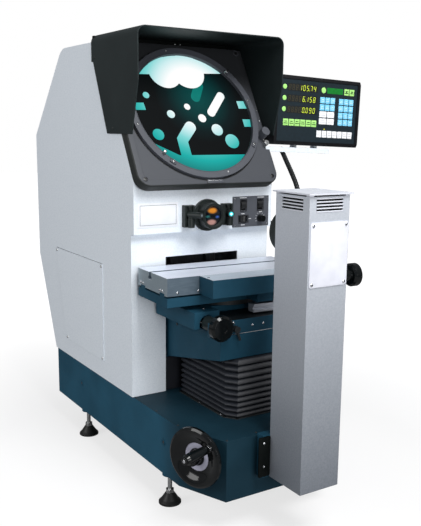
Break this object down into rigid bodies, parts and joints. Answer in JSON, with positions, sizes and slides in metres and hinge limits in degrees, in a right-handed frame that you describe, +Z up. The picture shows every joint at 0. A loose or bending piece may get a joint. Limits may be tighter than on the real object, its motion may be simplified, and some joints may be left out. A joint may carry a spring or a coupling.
{
  "type": "optical comparator",
  "caption": "Floor-standing optical comparator: tilted round screen under a hood, screw-driven work stage over bellows, lamp tower in front and a digital readout console at the side.",
  "frame": {"origin": "on the floor, under the middle of the base casting and in the machine's middle plane", "axes": "+X to the machine's right as its user faces it from the lamp tower, +Y to its rear, +Z up"},
  "size_m": [0.7425, 1.058, 1.0265],
  "materials": {
    "cabinet_paint": "off-white textured paint",
    "machine_paint": "blue-green textured paint",
    "bezel_paint": "dark grey textured paint",
    "hood_paint": "black satin paint",
    "tower_paint": "silver-grey hammer paint",
    "rubber": "matte",
    "bellows_cloth": "coated cloth",
    "ground_steel": "ground",
    "zinc": "zinc plated",
    "iron": "machined",
    "bronze": "machined",
    "anodised": "satin anodised",
    "black_anodised": "black anodised",
    "knob_plastic": "polished",
    "switch_plastic": "satin",
    "console_plastic": "fine texture",
    "cable_jacket": "spiral wrapped",
    "optical_glass": "polished",
    "screen_glass": "ground",
    "mirror_glass": "polished"
  },
  "bodies": {
    "frame": {"cabinet_shell": "cabinet_paint", "access_panels": "cabinet_paint", "rear_panel": "cabinet_paint", "display_arm": "cabinet_paint", "base_casting": "machine_paint", "screen_bezel": "bezel_paint", "control_panel": "bezel_paint", "screen_hood": "hood_paint", "tower_bracket": "hood_paint", "illuminator_brackets": "hood_paint", "lamp_tower": "tower_paint", "tower_cap": "tower_paint", "foot_pads": "rubber", "bellows": "bellows_cloth", "guide_rails": "ground_steel", "wheel_bearing": "ground_steel", "foot_studs": "zinc", "bottom_plate": "iron", "column": "iron", "mirror_bracket": "iron", "lamp_holder": "iron", "power_supply": "anodised", "lens_mount": "black_anodised", "condenser_barrel": "black_anodised", "power_inlet": "switch_plastic", "display_cable": "cable_jacket", "objective_lens": "optical_glass", "condenser_lens": "optical_glass", "lamp_bulb": "optical_glass", "folding_mirror": "mirror_glass"},
    "knee": {"knee_casting": "machine_paint", "knee_trucks": "ground_steel", "knee_nut": "bronze", "focus_base": "machine_paint"},
    "focus": {"focus_slide": "machine_paint"},
    "focus_drive": {"focus_knob": "knob_plastic"},
    "lock": {"focus_lock": "bronze"},
    "saddle": {"swivel_plate": "ground_steel", "saddle": "machine_paint", "x_scale": "anodised"},
    "table": {"work_table": "ground_steel", "table_apron": "machine_paint"},
    "x_drive": {"x_screw": "ground_steel", "x_knob": "knob_plastic"},
    "elevation_screw": {"lead_screw": "ground_steel", "bevel_gear": "iron"},
    "wheel": {"handwheel": "knob_plastic", "pinion_shaft": "ground_steel"},
    "grip": {"wheel_grip": "knob_plastic"},
    "screen": {"screen_ring": "black_anodised", "screen_glass": "screen_glass"},
    "ring_drive": {"ring_knob": "knob_plastic"},
    "ring_lock": {"ring_clamp": "zinc"},
    "lamp_switch": {"lamp_rocker": "switch_plastic"},
    "surface_switch": {"surface_rocker": "switch_plastic"},
    "fan_switch": {"fan_rocker": "switch_plastic"},
    "dimmer": {"dimmer_knob": "knob_plastic"},
    "console": {"display_console": "console_plastic"},
    "left_lamp": {"left_illuminator": "hood_paint"},
    "right_lamp": {"right_illuminator": "hood_paint"}
  },
  "joints": [
    {"name": "handwheel_turn", "type": "hinge", "parent": "frame", "child": "wheel", "pos_m": [-0.16261, -0.34673, 0.161], "axis": [0.9302, 0.3672, 0], "range_deg": [-4320, 2880]},
    {"name": "knee_slide", "type": "slide", "parent": "frame", "child": "knee", "axis": [0, 0, 1], "range_m": [-0.06, 0.04], "deforming": ["bellows"]},
    {"name": "screw_turn", "type": "hinge", "parent": "frame", "child": "elevation_screw", "pos_m": [0.03, -0.2707, 0.218], "axis": [0, 0, -1], "range_deg": [-4320, 2880]},
    {"name": "grip_spin", "type": "hinge", "parent": "wheel", "child": "grip", "pos_m": [-0.14976, -0.37926, 0.19087], "axis": [-0.9302, -0.3672, 0], "continuous": true},
    {"name": "focus_turn", "type": "hinge", "parent": "knee", "child": "focus_drive", "pos_m": [-0.099, -0.313, 0.41], "axis": [0, 1, 0], "range_deg": [-361, 2161]},
    {"name": "focus_slide_y", "type": "slide", "parent": "knee", "child": "focus", "axis": [0, -1, 0], "range_m": [-0.005, 0.03]},
    {"name": "lock_turn", "type": "hinge", "parent": "knee", "child": "lock", "pos_m": [-0.058, -0.31, 0.402], "axis": [0, -1, 0], "range_deg": [0, 50]},
    {"name": "table_swivel", "type": "hinge", "parent": "focus", "child": "saddle", "pos_m": [0, -0.167, 0.438], "axis": [0, 0, -1], "range_deg": [-6.5, 1.5]},
    {"name": "feed_turn", "type": "hinge", "parent": "table", "child": "x_drive", "pos_m": [0.19532, -0.27863, 0.4826], "axis": [0.999, -0.0436, 0], "range_deg": [-3601, 3601]},
    {"name": "table_slide", "type": "slide", "parent": "saddle", "child": "table", "axis": [0.999, -0.0436, 0], "range_m": [-0.1, 0.1]},
    {"name": "screen_turn", "type": "hinge", "parent": "frame", "child": "screen", "pos_m": [0, -0.04, 0.855], "axis": [0, -0.8704, 0.4924], "continuous": true},
    {"name": "ring_knob_turn", "type": "hinge", "parent": "frame", "child": "ring_drive", "pos_m": [0.17183, -0.06848, 0.80467], "axis": [0, -0.8704, 0.4924], "continuous": true},
    {"name": "ring_clamp_turn", "type": "hinge", "parent": "frame", "child": "ring_lock", "pos_m": [0.174, -0.08038, 0.78363], "axis": [0, -0.8704, 0.4924], "range_deg": [0, 180]},
    {"name": "lamp_switch_rock", "type": "hinge", "parent": "frame", "child": "lamp_switch", "pos_m": [0.102, -0.086, 0.637], "axis": [1, 0, 0], "range_deg": [-16, 0]},
    {"name": "surface_switch_rock", "type": "hinge", "parent": "frame", "child": "surface_switch", "pos_m": [0.151, -0.086, 0.637], "axis": [1, 0, 0], "range_deg": [-16, 0]},
    {"name": "fan_switch_rock", "type": "hinge", "parent": "frame", "child": "fan_switch", "pos_m": [0.102, -0.086, 0.604], "axis": [0, 0, -1], "range_deg": [-16, 0]},
    {"name": "dimmer_turn", "type": "hinge", "parent": "frame", "child": "dimmer", "pos_m": [0.151, -0.1, 0.604], "axis": [0, 1, 0], "range_deg": [0, 270]},
    {"name": "console_tilt", "type": "hinge", "parent": "frame", "child": "console", "pos_m": [0.35016, -0.006, 0.79932], "axis": [0.9994, 0, -0.0349], "range_deg": [-20, 3]},
    {"name": "left_lamp_turn", "type": "hinge", "parent": "frame", "child": "left_lamp", "pos_m": [-0.052, -0.11, 0.618], "axis": [0, 0, -1], "range_deg": [-8, 20]},
    {"name": "right_lamp_turn", "type": "hinge", "parent": "frame", "child": "right_lamp", "pos_m": [0.052, -0.11, 0.618], "axis": [0, 0, 1], "range_deg": [-8, 20]}
  ],
  "couplings": [
    {"joint": "knee_slide", "follows": "handwheel_turn", "m_per_rad": 0.00079577},
    {"joint": "screw_turn", "follows": "handwheel_turn", "ratio": 1},
    {"joint": "focus_turn", "follows": "focus_slide_y", "rad_per_m": 1256.6},
    {"joint": "feed_turn", "follows": "table_slide", "rad_per_m": 628.32},
    {"joint": "ring_knob_turn", "follows": "screen_turn", "ratio": -15.482}
  ]
}
